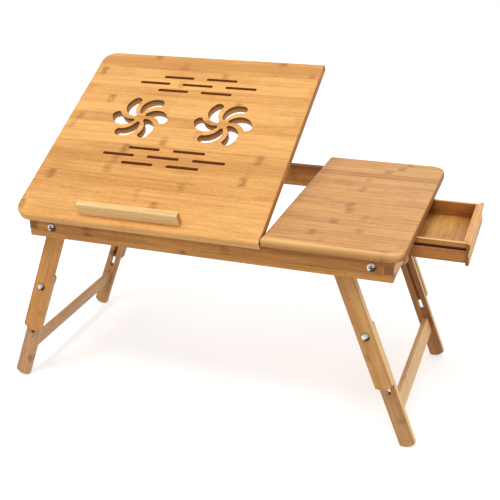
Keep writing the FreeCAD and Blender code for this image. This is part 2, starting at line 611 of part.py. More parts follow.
def vent_slots(board):
    """Two banks of short slots, three rows each: two, three and two slots."""
    sketch = new_sketch(board, "XY_Plane", BOARD_UPPER)
    half, rise = "(slot_length / 2 - vent_slot_width / 2)", "vent_slot_width / 2"
    end = ("vent_slot_width * end_round_share", True)
    for bank in (-1, 1):
        for line, shifts in ((-1, (-0.5, 0.5)), (0, (-1, 0, 1)), (1, (-0.5, 0.5))):
            y = f"{VENT_Y} + slot_bank_offset * {bank} + slot_row_pitch * {line}"
            for shift in shifts:
                x = f"{TOP_MIDDLE} + slot_pitch * {shift}"
                corners = [(f"{x} - {half}", f"{y} - {rise}"), (f"{x} + {half}", f"{y} - {rise}"),
                           (f"{x} + {half}", f"{y} + {rise}"), (f"{x} - {half}", f"{y} + {rise}")]
                outline(sketch, corners, {1: end, 3: end})
    pad(board, sketch, "board_thick", cut=True)


def vent_fan(board, x):
    """Ring of curved, drop-shaped vents, narrow at the middle and round at the rim."""
    sketch = new_sketch(board, "XY_Plane", BOARD_UPPER)
    bind(sketch, "AttachmentOffset.Base.x", x)
    bind(sketch, "AttachmentOffset.Base.y", VENT_Y)
    polar = [("blade_inner", "root_back_angle"), ("blade_inner", "root_front_angle"),
             ("blade_heel", "heel_angle"), ("blade_outer", "tip_angle")]
    corners = [(f"{radius} * cos({angle})", f"{radius} * sin({angle})") for radius, angle in polar]
    outline(sketch, corners, {0: ("blade_root_round", True), 1: ("blade_back_round", False),
                              2: ("blade_tip_round", True), 3: ("blade_front_round", True)})
    blade = pad(board, sketch, "board_thick", cut=True)
    doc.recompute()
    ring_of_blades = board.newObject("PartDesign::PolarPattern", "FanPattern")
    ring_of_blades.Originals = [blade]
    ring_of_blades.Axis = (sketch, ["N_Axis"])
    ring_of_blades.Angle = 360
    ring_of_blades.Occurrences = FAN_BLADES
    board.Tip = ring_of_blades


def ledge():
    """Bar that stands on the tilting board and stops the laptop, with its two dowels."""
    bar = new_body("laptop_ledge", "top")
    box(bar, (f"{LEDGE_X} - ledge_length / 2", f"ledge_inset - {HINGE_INSET}", BOARD_UPPER),
        ("ledge_length", "ledge_thick", "ledge_height"))
    round_edges(bar, "ledge_round")
    dowels = []
    for number, x in enumerate(DOWEL_PLACES, 1):
        rod(bar, (x, LEDGE_Y, BOARD_UPPER), "ledge_dowel_radius", "ledge_dowel_depth", "z", cut=True)
        dowel = new_body(f"ledge_dowel_{number}", "top")
        rod(dowel, (x, LEDGE_Y, f"{BOARD_UPPER} - ledge_dowel_depth"), "ledge_dowel_radius",
            "2 * ledge_dowel_depth", "z")
        dowels.append(dowel)
    return [bar, group_of("ledge_dowels", dowels)]


# ---- prop ----------------------------------------------------------------------------------

def prop_batten():
    """Batten under the tilting board that carries the prop's pins, and the two pins."""
    batten = new_body("prop_batten", "top")
    left = f"({PROP_LEFT} + prop_thick + prop_block_gap)"
    right = f"({PROP_RIGHT} - prop_thick - prop_block_gap)"
    box(batten, (left, f"{PROP_Y} - batten_width / 2", "tilt_gap / 2 - batten_height"),
        (f"{right} - {left}", "batten_width", "batten_height"))
    round_edges(batten, "arris_round")
    pins = []
    length = "(pin_seat + prop_block_gap + prop_thick)"
    right_seat = f"({right} - pin_seat)"
    for hand, seat, start in (("left", left, PROP_LEFT), ("right", right_seat, right_seat)):
        rod(batten, (seat, PROP_Y, PROP_Z), "prop_pin_radius", "pin_seat", "x", cut=True)
        pin = new_body(f"{hand}_prop_pin", "top")
        rod(pin, (start, PROP_Y, PROP_Z), "prop_pin_radius", length, "x")
        pins.append(pin)
    return [batten, group_of("prop_pins", pins)]


def prop_arm(hand):
    """Arm of the prop, round at both ends."""
    arm = new_body(f"{hand}_prop_arm", "prop")
    x = PROP_LEFT if hand == "left" else f"({PROP_RIGHT} - prop_thick)"
    rod(arm, (x, "0", "0"), "prop_height / 2", "prop_thick", "x")
    box(arm, (x, "0", "-prop_height / 2"), ("prop_thick", "prop_length", "prop_height"))
    rod(arm, (x, "prop_length", "0"), "prop_height / 2", "prop_thick", "x")
    rod(arm, (x, "0", "0"), "prop_pin_radius + running_gap", "prop_thick", "x", cut=True)
    for y, radius in (("prop_spreader_place", "prop_spreader_radius"),
                      ("prop_length", "prop_bar_radius")):
        rod(arm, (x, y, "0"), radius, "prop_thick", "x", cut=True)
    return arm


def prop():
    """Two arms, the foot bar that lies in the racks, and the bar that spreads the arms."""
    foot = new_body("prop_foot_bar", "prop")
    start = f"({CROSS_SPAN[0]} + prop_side_gap / 2)"
    rod(foot, (start, "prop_length", "0"), "prop_bar_radius",
        f"{CROSS_SPAN[1]} - prop_side_gap / 2 - {start}", "x")
    spreader = new_body("prop_spreader", "prop")
    rod(spreader, (PROP_LEFT, "prop_spreader_place", "0"), "prop_spreader_radius",
        f"{PROP_RIGHT} - {PROP_LEFT}", "x")
    return [prop_arm("left"), prop_arm("right"), foot, spreader]


# ---- legs ----------------------------------------------------------------------------------

def slat(label, group, side, inner, thick, width, head, foot):
    """Flat leg slat. head and foot are the heights at which its round ends start."""
    body = new_body(label, group)
    start = f"{inner}" if side == FRONT else f"-({inner} + {thick})"
    sketch = new_sketch(body, "XZ_Plane", start)
    half = f"({width} / 2)"
    corners = [(f"-{half}", head), (f"-{half}", foot), (half, foot), (half, head)]
    outline(sketch, corners, {1: ("foot_round", True), 3: (f"{width} * end_round_share", True)})
    pad(body, sketch, thick)
    round_edges(body, "arris_round")
    return body


def upper_leg(hand, side):
    """Upper slat: it folds on the pivot bolt and carries the clamp bolt."""
    body = slat(f"{hand}_{side_name(side)}_upper_leg", f"{hand}_legs", side, UPPER_INNER,
                "upper_leg_thick", "upper_leg_width", "0", "-upper_leg_reach")
    low = across(side, UPPER_INNER, UPPER_OUTER)[0]
    rod(body, ("0", low, "0"), "bolt_radius + running_gap", "upper_leg_thick", "y", cut=True)
    rod(body, ("0", low, "-clamp_reach"), "bolt_radius", "upper_leg_thick", "y", cut=True)
    return body


def lower_leg(hand, side):
    """Lower slat: it slides on the clamp bolt along its slot and ends in the foot."""
    foot_drop = "sqrt(foot_round * foot_round - lower_leg_width * lower_leg_width / 4)"
    body = slat(f"{hand}_{side_name(side)}_lower_leg", f"{hand}_legs", side, LOWER_INNER,
                "lower_leg_thick", "lower_leg_width", "(lower_leg_head - clamp_reach)",
                f"(-{FOOT_REACH} - {foot_drop})")
    start = LOWER_INNER if side == FRONT else f"-{LOWER_OUTER}"
    sketch = new_sketch(body, "XZ_Plane", f"{start} + lower_leg_thick")
    half = "(bolt_radius + slot_clearance)"
    top, bottom = "(slot_end_clear - clamp_reach)", f"(slot_foot_gap - {STRETCHER_REACH})"
    corners = [(f"-{half}", top), (f"-{half}", bottom), (half, bottom), (half, top)]
    end = (f"2 * {half} * end_round_share", True)
    outline(sketch, corners, {1: end, 3: end})
    pad(body, sketch, "lower_leg_thick", cut=True)
    mortise = LOWER_INNER if side == BACK else f"-({LOWER_INNER} + tenon_depth)"
    box(body, ("-tenon_thick / 2", mortise, f"-{STRETCHER_REACH} - tenon_width / 2"),
        ("tenon_thick", "tenon_depth", "tenon_width"), cut=True)
    return body


def stretcher(hand):
    """Cross slat between the two lower legs of one end, tenoned into both."""
    body = new_body(f"{hand}_stretcher", f"{hand}_legs")
    for thick, width, reach in (("stretcher_thick", "stretcher_width", LOWER_INNER),
                                ("tenon_thick", "tenon_width", f"({LOWER_INNER} + tenon_depth)")):
        box(body, (f"-{thick} / 2", f"-{reach}", f"-{STRETCHER_REACH} - {width} / 2"),
            (thick, f"2 * {reach}", width))
        if thick == "stretcher_thick":
            round_edges(body, "arris_round")
    return body


def knob(hand, side):
    """Oval wooden clamp knob and the threaded brass insert pressed into it."""
    group, z = f"{hand}_legs", "(-clamp_reach)"
    name = f"{hand}_{side_name(side)}"
    base, face = f"({KNOB_FACE} * {side})", f"(({KNOB_FACE} - flange_thick) * {side})"
    crown = f"(({KNOB_FACE} - flange_thick - knob_height) * {side})"
    body = new_body(f"{name}_knob", group)
    sketch = new_sketch(body, "XZ_Plane", f"-{crown if side == FRONT else face}")
    half, rise = "(knob_width / 2)", "(knob_length / 2 - knob_width / 2)"
    corners = [(f"-{half}", f"{z} + {rise}"), (f"-{half}", f"{z} - {rise}"),
               (half, f"{z} - {rise}"), (half, f"{z} + {rise}")]
    end = ("knob_width * end_round_share", True)
    outline(sketch, corners, {1: end, 3: end})
    pad(body, sketch, "knob_height")
    round_edges(body, "knob_round", crown, "Y")
    depth = f"({face} + insert_depth * {-side})"
    low = depth if side == BACK else face
    rod(body, ("0", low, z), "insert_radius", "insert_depth", "y", cut=True)
    insert = new_body(f"{name}_insert", group)
    bore = "(bolt_radius + running_gap)"
    corners = [(bore, base), ("flange_radius", base), ("flange_radius", face), ("insert_radius", face),
               ("insert_radius", depth), (bore, depth)]
    turned(insert, "0", z, corners)
    return [body, insert]


def legs(hand):
    """Both legs of one end: upper slats and clamp bolts, lower slats and stretcher, and knobs."""
    parts, clamp_bolts = [], []
    grip = "(upper_leg_thick + lower_leg_thick + 2 * slat_gap + flange_thick)"
    length = f"({grip} + insert_depth - bolt_end_clear)"
    for side in (FRONT, BACK):
        parts += [upper_leg(hand, side), lower_leg(hand, side)]
        parts += knob(hand, side)
        clamp_bolts.append(bolt(f"{hand}_{side_name(side)}_clamp_bolt", f"{hand}_legs", "0",
                                "(-clamp_reach)", side, UPPER_OUTER, "clamp_head_radius",
                                "clamp_head_height", length))
    return parts + [stretcher(hand), group_of(f"{hand}_clamp_bolts", clamp_bolts)]


# ---- drawer --------------------------------------------------------------------------------

def drawer_front():
    """Front panel: a core between the sides, a lip that overlaps their ends, and a cove in the lip."""
    panel = new_body("drawer_front", "drawer")
    low_z = f"({DRAWER_BOTTOM} - front_drop)"
    core, outer = f"({DRAWER_FACE} - front_core_thick)", f"({DRAWER_FACE} + front_lip_thick)"
    inner = f"({outer} - front_corner_radius)"
    core_low, core_high = f"({DRAWER_FRONT_Y} + drawer_wall)", f"({DRAWER_BACK_Y} - drawer_wall)"
    lip_low, lip_high = f"({DRAWER_FRONT_Y} - front_overlap)", f"({DRAWER_BACK_Y} + front_overlap)"
    corners = [(core, core_low), (DRAWER_FACE, core_low), (DRAWER_FACE, lip_low), (inner, lip_low),
               (outer, f"{lip_low} + front_corner_radius"), (outer, f"{lip_high} - front_corner_radius"),
               (inner, lip_high), (DRAWER_FACE, lip_high), (DRAWER_FACE, core_high), (core, core_high)]
    sketch = new_sketch(panel, "XY_Plane", low_z)
    corner = ("front_corner_radius", True)
    outline(sketch, corners, {3: corner, 5: corner})
    pad(panel, sketch, "front_height")
    for level in (low_z, f"{low_z} + front_height"):
        round_edges(panel, "front_round", level)
    box(panel, (core, core_low, f"{DRAWER_BOTTOM} + bottom_rise"),
        ("bottom_groove", f"{core_high} - {core_low}", "bottom_thick"), cut=True)
    rod(panel, (f"{outer} - cove_depth + cove_radius", f"{lip_low} - front_corner_radius",
                f"{low_z} + front_height / 2"), "cove_radius",
        f"{lip_high} - {lip_low} + 2 * front_corner_radius", "y", cut=True)
    return panel


def drawer_side(side):
    """Side with the runner groove outside and the groove for the bottom inside."""
    body = new_body(f"drawer_{side_name(side)}_side", "drawer")
    low = DRAWER_FRONT_Y if side == FRONT else f"({DRAWER_BACK_Y} - drawer_wall)"
    x = f"({DRAWER_FACE} - drawer_length)"
    box(body, (x, low, DRAWER_BOTTOM), ("drawer_length", "drawer_wall", "drawer_height"))
    round_edges(body, "arris_round")
    groove = low if side == FRONT else f"({DRAWER_BACK_Y} - runner_groove_depth)"
    box(body, (x, groove, f"{DRAWER_BOTTOM} + runner_groove_rise"),
        ("drawer_length", "runner_groove_depth", "runner_groove_height"), cut=True)
    seat = f"({DRAWER_FRONT_Y} + drawer_wall - bottom_groove)" if side == FRONT else low
    box(body, (f"{x} + drawer_wall - bottom_groove", seat, f"{DRAWER_BOTTOM} + bottom_rise"),
        ("drawer_length - drawer_wall + bottom_groove", "bottom_groove", "bottom_thick"), cut=True)
    return body


def drawer_back_and_bottom():
    """Back wall between the sides, and the bottom in the grooves of the walls."""
    x = f"({DRAWER_FACE} - drawer_length)"
    inner_y, inner_width = f"({DRAWER_FRONT_Y} + drawer_wall)", "(drawer_width - 2 * drawer_wall)"
    wall = new_body("drawer_back", "drawer")
    box(wall, (x, inner_y, DRAWER_BOTTOM), ("drawer_wall", inner_width, "drawer_height"))
    round_edges(wall, "arris_round")
    seat_z = f"{DRAWER_BOTTOM} + bottom_rise"
    seat_x = f"({x} + drawer_wall - bottom_groove)"
    box(wall, (seat_x, inner_y, seat_z), ("bottom_groove", inner_width, "bottom_thick"), cut=True)
    bottom = new_body("drawer_bottom", "drawer")
    front_end = f"({DRAWER_FACE} - front_core_thick + bottom_groove)"
    box(bottom, (seat_x, f"{inner_y} - bottom_groove", seat_z),
        (f"{front_end} - {seat_x}", f"{inner_width} + 2 * bottom_groove", "bottom_thick"))
    return [wall, bottom]


# ---- build, centre and export --------------------------------------------------------------

def build():
    """Build every sub-part and return the list of them."""
    parts = [long_rail(FRONT), long_rail(BACK)] + end_rails()
    parts += [cross_rail("left_cross_rail", f"({CROSS_SPAN[0]} - rail_thick)"),
              cross_rail("right_cross_rail", CROSS_SPAN[1]), cross_rail("middle_divider", DIVIDER_LEFT)]
    parts += [notch_rack("left", CROSS_SPAN[0]), notch_rack("right", f"({CROSS_SPAN[1]} - rack_thick)")]
    parts.append(side_top())
    for side in (FRONT, BACK):
        parts += [corner_block(side), drawer_guide(side)]
    parts += pivot_fasteners() + hinges()
    parts += [tilt_top()] + ledge() + prop_batten() + prop()
    parts += legs("left") + legs("right")
    parts += [drawer_front(), drawer_side(FRONT), drawer_side(BACK)] + drawer_back_and_bottom()
    return parts


def set_size(alias, number):
    sheet.set(sheet.getCellFromAlias(alias), f"{number:.6f}")


def centre_on_floor(parts):
    """Put the origin at the bottom centre of the box around every sub-part."""
    whole = FreeCAD.BoundBox()
    for part in parts:
        whole.add(part.Shape.optimalBoundingBox(False))
    set_size("origin_shift_x", whole.Center.x)
    set_size("origin_shift_y", whole.Center.y)
    doc.recompute()


def export(parts):
    """Write each sub-part to parts/, once every one of them is sound."""
    for thing in doc.Objects:
        bad = [word for word in ("Invalid", "Error") if word in thing.State]
        if bad:
            raise RuntimeError(f"{thing.Label} ({thing.Name}) is {bad}")
    for part in parts:
        if part.Shape.isNull() or not part.Shape.isValid() or not part.Shape.Solids:
            raise RuntimeError(f"{part.Label} has no valid solid")
    os.makedirs("parts", exist_ok=True)
    for part in parts:
        part.Shape.exportStep(f"parts/{part.Label}.step")


all_parts = build()
doc.recompute()
centre_on_floor(all_parts)
export(all_parts)
print(len(all_parts), "sub-parts")
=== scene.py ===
# Looks for the laptop stand with a drawer: materials, floor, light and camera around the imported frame.
import json
import math

import bpy
from mathutils import Matrix, Vector


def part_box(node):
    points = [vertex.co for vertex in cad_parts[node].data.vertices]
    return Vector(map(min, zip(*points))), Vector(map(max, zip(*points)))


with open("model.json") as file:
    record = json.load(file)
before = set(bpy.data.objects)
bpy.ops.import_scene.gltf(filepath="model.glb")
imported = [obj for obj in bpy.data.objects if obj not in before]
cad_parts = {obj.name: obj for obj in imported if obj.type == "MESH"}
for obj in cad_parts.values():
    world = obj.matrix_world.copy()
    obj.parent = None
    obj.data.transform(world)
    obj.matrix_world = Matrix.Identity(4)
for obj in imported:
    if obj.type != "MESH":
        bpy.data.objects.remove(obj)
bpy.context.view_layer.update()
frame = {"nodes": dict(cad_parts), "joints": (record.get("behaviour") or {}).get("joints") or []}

NODES = frame["nodes"]
JOINTS = {joint["name"]: joint for joint in frame["joints"]}
SCENE = bpy.context.scene
X, Y, Z = Vector((1, 0, 0)), Vector((0, 1, 0)), Vector((0, 0, 1))
MM = 1000   # millimetres in a metre


# ---- facts of shape, in metres, worked out from the frame ---------------------------------------

def node_box(name):
    """The low corner, the high corner and the middle of a node's box."""
    low, high = (Vector(corner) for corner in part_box(name))
    return low, high, (low + high) / 2


HINGE = Vector(JOINTS["top_tilt"]["pos_m"])
TILT = math.radians(-JOINTS["top_tilt"]["range_deg"][0])   # the top closes at the low end of its range
MIDDLE = Vector((HINGE.x, JOINTS["left_leg_fold"]["pos_m"][1], 0))   # of the table, on the floor
HANDS = ("left", "right")
DOWN_LEG = {hand: -Vector(JOINTS[f"{hand}_leg_extend"]["axis"]).normalized() for hand in HANDS}

UP_BOARD = Vector((0, math.cos(TILT), math.sin(TILT)))
OUT_BOARD = Vector((0, -math.sin(TILT), math.cos(TILT)))
HINGE_INSET = 0.0115   # from the tilting board's front edge to its hinge, along the board
board_middle = node_box("tilt_top")[2]
BOARD_FRONT = Vector((board_middle.x, HINGE.y, HINGE.z)) - HINGE_INSET * UP_BOARD

shelf_low, shelf_high, shelf_middle = node_box("side_top")
SHELF_FRONT = Vector((shelf_middle.x, shelf_low.y, shelf_low.z))
BOARD_THICK = shelf_high.z - shelf_low.z
RAIL_TOP = node_box("front_rail")[1].z

prop_reach = node_box("prop_foot_bar")[2] - Vector(JOINTS["prop_swing"]["pos_m"])
ALONG_PROP = Vector((0, prop_reach.y, prop_reach.z)).normalized()

drawer_low, drawer_high = node_box("drawer_front_side")[0], node_box("drawer_back_side")[1]
DRAWER_HALF_WIDTH = (drawer_high.y - drawer_low.y) / 2
GROOVE_RISE = 0.0194   # from the lower edge of the drawer's sides to the middle of their runner grooves
GROOVE_MIDDLE = Vector((MIDDLE.x, drawer_low.y + DRAWER_HALF_WIDTH, drawer_low.z + GROOVE_RISE))


# ---- node helpers -------------------------------------------------------------------------------

def linear(red, green, blue):
    """A colour given in sRGB from 0 to 255, as Blender's linear colour."""
    def one(value):
        value /= 255
        return value / 12.92 if value <= 0.04045 else ((value + 0.055) / 1.055) ** 2.4
    return one(red), one(green), one(blue), 1.0


class Tree:
    """A node tree with short calls for the nodes that the materials use."""

    def __init__(self, tree):
        self.tree = tree

    def node(self, kind, **settings):
        made = self.tree.nodes.new(kind)
        for name, value in settings.items():
            setattr(made, name, value)
        return made

    def feed(self, socket, value):
        """Link a socket to another node's output, or set it to a plain value."""
        if isinstance(value, bpy.types.NodeSocket):
            self.tree.links.new(value, socket)
        else:
            socket.default_value = value

    def fill(self, node, values):
        """Feed a node's inputs, each given by its name or its number."""
        for socket, value in values.items():
            self.feed(node.inputs[socket], value)

    def math(self, operation, *values):
        made = self.node("ShaderNodeMath", operation=operation)
        self.fill(made, dict(enumerate(values)))
        return made.outputs[0]

    def times(self, product, *factors):
        for factor in factors:
            product = self.math("MULTIPLY", product, factor)
        return product

    def clamp(self, value):
        return self.math("MAXIMUM", self.math("MINIMUM", value, 1.0), 0.0)

    def vary(self, base, noise, share):
        """The base, moved up and down by a share of how far the noise lies from a half."""
        return self.math("MULTIPLY_ADD", self.math("SUBTRACT", noise, 0.5), share, base)

    def ramp(self, value, start, end, first=0.0, last=1.0):
        """A smooth step from first to last as the value goes from start, up or down, to end."""
        made = self.node("ShaderNodeMapRange", interpolation_type="SMOOTHSTEP")
        self.fill(made, dict(enumerate((value, start, end, first, last))))
        return made.outputs[0]

    def mix(self, share, a, b):
        """Colour a, turning into colour b as the share goes from 0 to 1."""
        made = self.node("ShaderNodeMix", data_type="RGBA")
        self.fill(made, {0: share, 6: a, 7: b})   # inputs 6 and 7 and output 2 are a Mix node's colours
        return made.outputs[2]

    def vector(self, x, y, z):
        made = self.node("ShaderNodeCombineXYZ")
        self.fill(made, {"X": x, "Y": y, "Z": z})
        return made.outputs[0]

    def split(self, vector):
        made = self.node("ShaderNodeSeparateXYZ")
        self.feed(made.inputs[0], vector)
        return made.outputs

    def noise(self, place, scale=1.0, detail=2.0, rough=0.5):
        made = self.node("ShaderNodeTexNoise")
        self.fill(made, {"Vector": place, "Scale": scale, "Detail": detail, "Roughness": rough})
        return made.outputs[0]

    def streaks(self, x, y, depth, along, across, detail=2.0, rough=0.5):
        """Noise with one rate along the grain, for x, and another across it, for y."""
        place = self.vector(self.times(x, along), self.times(y, across), depth)
        return self.noise(place, detail=detail, rough=rough)

    def random(self, x, y, z=0.0):
        made = self.node("ShaderNodeTexWhiteNoise", noise_dimensions="3D")
        self.feed(made.inputs[0], self.vector(x, y, z))
        return made.outputs[0]

    def openness(self, reach):
        """1 in the open and less in a corner, judged by what stands within a reach in metres."""
        made = self.node("ShaderNodeAmbientOcclusion", samples=8)
        self.feed(made.inputs["Distance"], reach)
        return made.outputs["AO"]

    def bump(self, height, strength, distance):
        """Fine relief, its full height a distance in metres."""
        made = self.node("ShaderNodeBump")
        self.fill(made, {"Height": height, "Strength": strength, "Distance": distance})
        return made.outputs[0]


# ---- bamboo -------------------------------------------------------------------------------------
# Lengths are in millimetres. A rate is a number of noise cells to the millimetre.

GROUP_SOCKETS = {
    "INPUT": {"Place": "Vector", "Facing": "Vector", "Strip": "Float", "Seed": "Float", "Contrast": "Float",
              "Joints": "Float", "Light": "Color", "Dark": "Color", "Joint colour": "Color",
              "End colour": "Color"},
    "OUTPUT": {"Colour": "Color", "Roughness": "Float", "Height": "Float"},
}
BASE_TONE = 0.55
STRIP_SWAY = 0.8         # the span in which the border of two strips strays from a straight line
SEAM_WIDTH = 0.45        # of the thin dark line on either side of a strip
SEAM_SHARE = 0.24        # how strongly the seams and the veins take the joints' colour
VEIN_SHARE = 0.22
JOINT_PITCH = 205.0      # from one joint of a cane to the next
JOINT_STARTS = 7.0       # by how many pitches the strips are shifted at most
JOINT_WANDER = 7.0       # the span in which a joint strays along its strip
JOINT_CORE = 1.5         # from a joint's middle to where it starts to fade
JOINT_REACH = 7.0        # from a joint's middle to where the shortest one ends
JOINT_REACH_MORE = 4.0   # what the longest one has more
FIBRE_END_RATE = 0.62    # of the dots that the cut fibres make in end grain


def strips(t, place, given):
    """The number of the strip that a place lies in, and how far it is from the strip's nearer edge."""
    x, y, _ = place
    sway = t.streaks(x, y, given["Seed"], along=0.011, across=0.01, detail=1)
    swayed = t.math("MULTIPLY_ADD", sway, STRIP_SWAY, y)
    across = t.math("ADD", t.math("DIVIDE", swayed, given["Strip"]), given["Seed"])
    within = t.math("FRACT", across)
    edge = t.times(t.math("MINIMUM", within, t.math("SUBTRACT", 1.0, within)), given["Strip"])
    return t.math("FLOOR", across), edge


def fibres(t, place, cell, given):
    """The tone, from dark to light, the fibres and threads that it is made of, and brown veins."""
    x, y, z = place
    own = t.random(cell, given["Seed"])
    layer = t.math("MULTIPLY_ADD", z, 0.2, t.times(cell, 5.1))   # each strip has its own layer of noise
    cloud = t.streaks(x, cell, given["Seed"], along=0.008, across=3.7)
    broad = t.streaks(x, y, layer, along=0.010, across=0.19, detail=3, rough=0.6)
    fibre = t.streaks(x, y, t.times(z, 0.95), along=0.045, across=0.80, detail=3, rough=0.6)
    thread = t.streaks(x, y, t.times(z, 2.2), along=0.16, across=2.2, detail=2, rough=0.6)
    tone = t.vary(BASE_TONE, own, given["Contrast"])
    for value, share in ((cloud, 0.8), (broad, 1.3), (fibre, 1.3), (thread, 1.7)):
        tone = t.vary(tone, value, share)

    long = t.streaks(x, y, layer, along=0.0035, across=0.48)
    vein = t.times(t.ramp(long, 0.58, 0.72), t.ramp(broad, 0.62, 0.42))   # where the ground is dark too
    return t.clamp(tone), fibre, thread, vein


def cane_joints(t, place, cell, edge, given):
    """The share of the cane's joints: soft smudges of short dashes, each across one strip only."""
    x, y, _ = place
    start = t.times(t.random(cell, given["Seed"], 2.0), JOINT_STARTS)
    run = t.math("ADD", t.math("DIVIDE", x, JOINT_PITCH), start)
    chance = t.random(cell, t.math("FLOOR", run), given["Seed"])
    off = t.times(t.math("SUBTRACT", t.math("FRACT", run), 0.5), JOINT_PITCH)
    wander = t.noise(t.vector(t.times(y, 0.42), cell, given["Seed"]))
    off = t.math("ABSOLUTE", t.vary(off, wander, JOINT_WANDER))
    reach = t.math("MULTIPLY_ADD", chance, JOINT_REACH_MORE, JOINT_REACH)
    dashes = t.streaks(x, y, cell, along=0.30, across=0.95, detail=3, rough=0.7)
    smudge = t.streaks(x, y, cell, along=0.10, across=0.11, detail=1)
    return t.times(t.ramp(off, reach, JOINT_CORE),           # full in the middle, and fading out
                   t.ramp(dashes, 0.36, 0.64, 0.30, 0.90),   # broken into dashes
                   t.ramp(smudge, 0.30, 0.60, 0.45, 1.0),    # and into patches
                   t.ramp(chance, 0.0, 0.7, 0.2, 1.0),       # some joints are faint
                   t.ramp(edge, -1.5, 3.5),                  # weaker towards the strip's edges
                   given["Joints"])


def end_grain(t, place, given):
    """The share of end grain, its colour, and the dark dots in it that the cut fibres make."""
    _, y, z = place
    end = t.ramp(t.math("ABSOLUTE", t.split(given["Facing"])[0]), 0.72, 0.88)
    cells = t.node("ShaderNodeTexVoronoi", feature="F1")
    cut = t.vector(0.0, t.times(y, FIBRE_END_RATE), t.times(z, FIBRE_END_RATE))
    t.fill(cells, {"Vector": cut, "Scale": 1.0})
    dots = t.ramp(cells.outputs["Distance"], 0.18, 0.50, 1.0, 0.0)
    patches = t.noise(t.vector(0.0, t.times(y, 0.3), t.times(z, 0.3)), detail=3)
    ground = t.mix(t.ramp(patches, 0.30, 0.70, 0.0, 0.45), given["End colour"], given["Dark"])
    return end, t.mix(t.times(dots, 0.28), ground, given["Joint colour"]), dots


def bamboo_group():
    """Laminated bamboo: strips side by side, fibres along them, the cane's joints, and end grain.

    Place is in millimetres: x along the grain, y across the strips, z through the thickness.
    """
    group = bpy.data.node_groups.new("bamboo", "ShaderNodeTree")
    for in_out, sockets in GROUP_SOCKETS.items():
        for name, kind in sockets.items():
            group.interface.new_socket(name, in_out=in_out, socket_type=f"NodeSocket{kind}")
    t = Tree(group)
    given = t.node("NodeGroupInput").outputs
    place = t.split(given["Place"])
    cell, edge = strips(t, place, given)
    seam = t.ramp(edge, 0.0, SEAM_WIDTH, 1.0, 0.0)
    tone, fibre, thread, vein = fibres(t, place, cell, given)
    joint = cane_joints(t, place, cell, edge, given)
    end, end_colour, dots = end_grain(t, place, given)

    colour = t.mix(tone, given["Dark"], given["Light"])
    for share in (t.times(vein, VEIN_SHARE), joint, t.times(seam, SEAM_SHARE)):
        colour = t.mix(share, colour, given["Joint colour"])
    colour = t.mix(end, colour, end_colour)

    roughness = t.vary(0.46, fibre, 0.20)
    roughness = t.math("ADD", roughness, t.times(t.math("MAXIMUM", joint, end), 0.12))
    height = t.math("ADD", t.times(fibre, 0.5), t.times(thread, 0.5))
    height = t.math("SUBTRACT", height, t.math("ADD", t.times(seam, 0.9), t.times(joint, 0.5)))
    height = t.math("SUBTRACT", height, t.times(end, dots, 0.8))
    t.fill(t.node("NodeGroupOutput"), {"Colour": colour, "Roughness": roughness, "Height": height})
    return group


BAMBOO = bamboo_group()


def new_material(name):
    """An empty material, its tree and its shader."""
    made = bpy.data.materials.new(name)
    made.use_nodes = True
    made.node_tree.nodes.clear()
    t = Tree(made.node_tree)
    shader = t.node("ShaderNodeBsdfPrincipled")
    t.feed(t.node("ShaderNodeOutputMaterial").inputs["Surface"], shader.outputs[0])
    return made, t, shader


def grain_place(t, along, out, origin):
    """Place in millimetres and facing, turned so that x is along the grain and z out of the face."""
    turn = Matrix((along, out.cross(along), out))
    source = t.node("ShaderNodeTexCoord")
    place = t.node("ShaderNodeMapping", vector_type="POINT")
    t.fill(place, {"Vector": source.outputs["Object"], "Location": -MM * (turn @ origin),
                   "Rotation": turn.to_euler(), "Scale": (MM, MM, MM)})
    facing = t.node("ShaderNodeMapping", vector_type="VECTOR")
    t.fill(facing, {"Vector": source.outputs["Normal"], "Rotation": turn.to_euler()})
    return place.outputs[0], facing.outputs[0]


def bamboo(name, colours, along, out, strip, seed, contrast, joints=1.0, origin=Vector(), shade=None):
    """A bamboo material whose grain runs along one direction of the object at rest.

    The colours are the wood's light and dark, the cane's joints and the end grain. Strip is the width of
    the strips in millimetres. Shade is a function that changes the colour by place and facing.
    """
    made, t, shader = new_material(name)
    place, facing = grain_place(t, along, out, origin)
    light, dark, joint, end = (linear(*colour) for colour in colours)
    wood = t.node("ShaderNodeGroup", node_tree=BAMBOO)
    t.fill(wood, {"Place": place, "Facing": facing, "Strip": strip, "Seed": seed, "Contrast": contrast,
                  "Joints": joints, "Light": light, "Dark": dark, "Joint colour": joint, "End colour": end})
    colour = wood.outputs["Colour"]
    if shade:
        colour = shade(t, t.split(place), t.split(facing), colour)
    relief = t.bump(wood.outputs["Height"], strength=0.35, distance=0.00012)
    t.fill(shader, {"Base Color": colour, "Roughness": wood.outputs["Roughness"],
                    "Specular IOR Level": 0.24, "Normal": relief})
    return made


# ---- shades: functions that change the bamboo's colour by place and facing, most with painted light ---
# A place is in millimetres from the material's origin: x along the grain, y across the strips and z out
# of the face. So on the tilting board, y is the distance up the board from its front edge.

DARK_STRIPS = ((331.0, 9.6, 0.62), (125.0, 9.0, 0.34))   # middle, half width and share of each
STRIP_FADE = 0.8              # half the width of a dark strip's soft border
VENT_MIDDLE = 207.0           # of all the vents, up the tilting board
VENTS_HALF_DEPTH = 102.0      # of the area that holds the vents
VENTS_HALF_LENGTH = 128.0
FANS_HALF_DEPTH = 54.0        # of the part of that area that holds the two fan-shaped vents
VENT_FADE = 2.0               # half the width of these areas' soft borders
FAN_WALL = (1.5, 11.0)        # from where a fan's wall is pale to where it is brown, towards the face
EDGE_MARGIN = 1.5             # from a board's underside and from its top to the painted shade and painted highlight of its rounded edge
RAIL_SHADOW_BAND = 18.0             # the height of the painted shadow at the top of the rails, under the boards
CORNER_SHADE_REACH = 0.035            # reach of the painted shade in the drawer's corners, in metres
GROOVE_HALF_HEIGHT = 2.25     # of the runner grooves in the drawer's sides, with their rims
GROOVE_DEPTH = 2.5


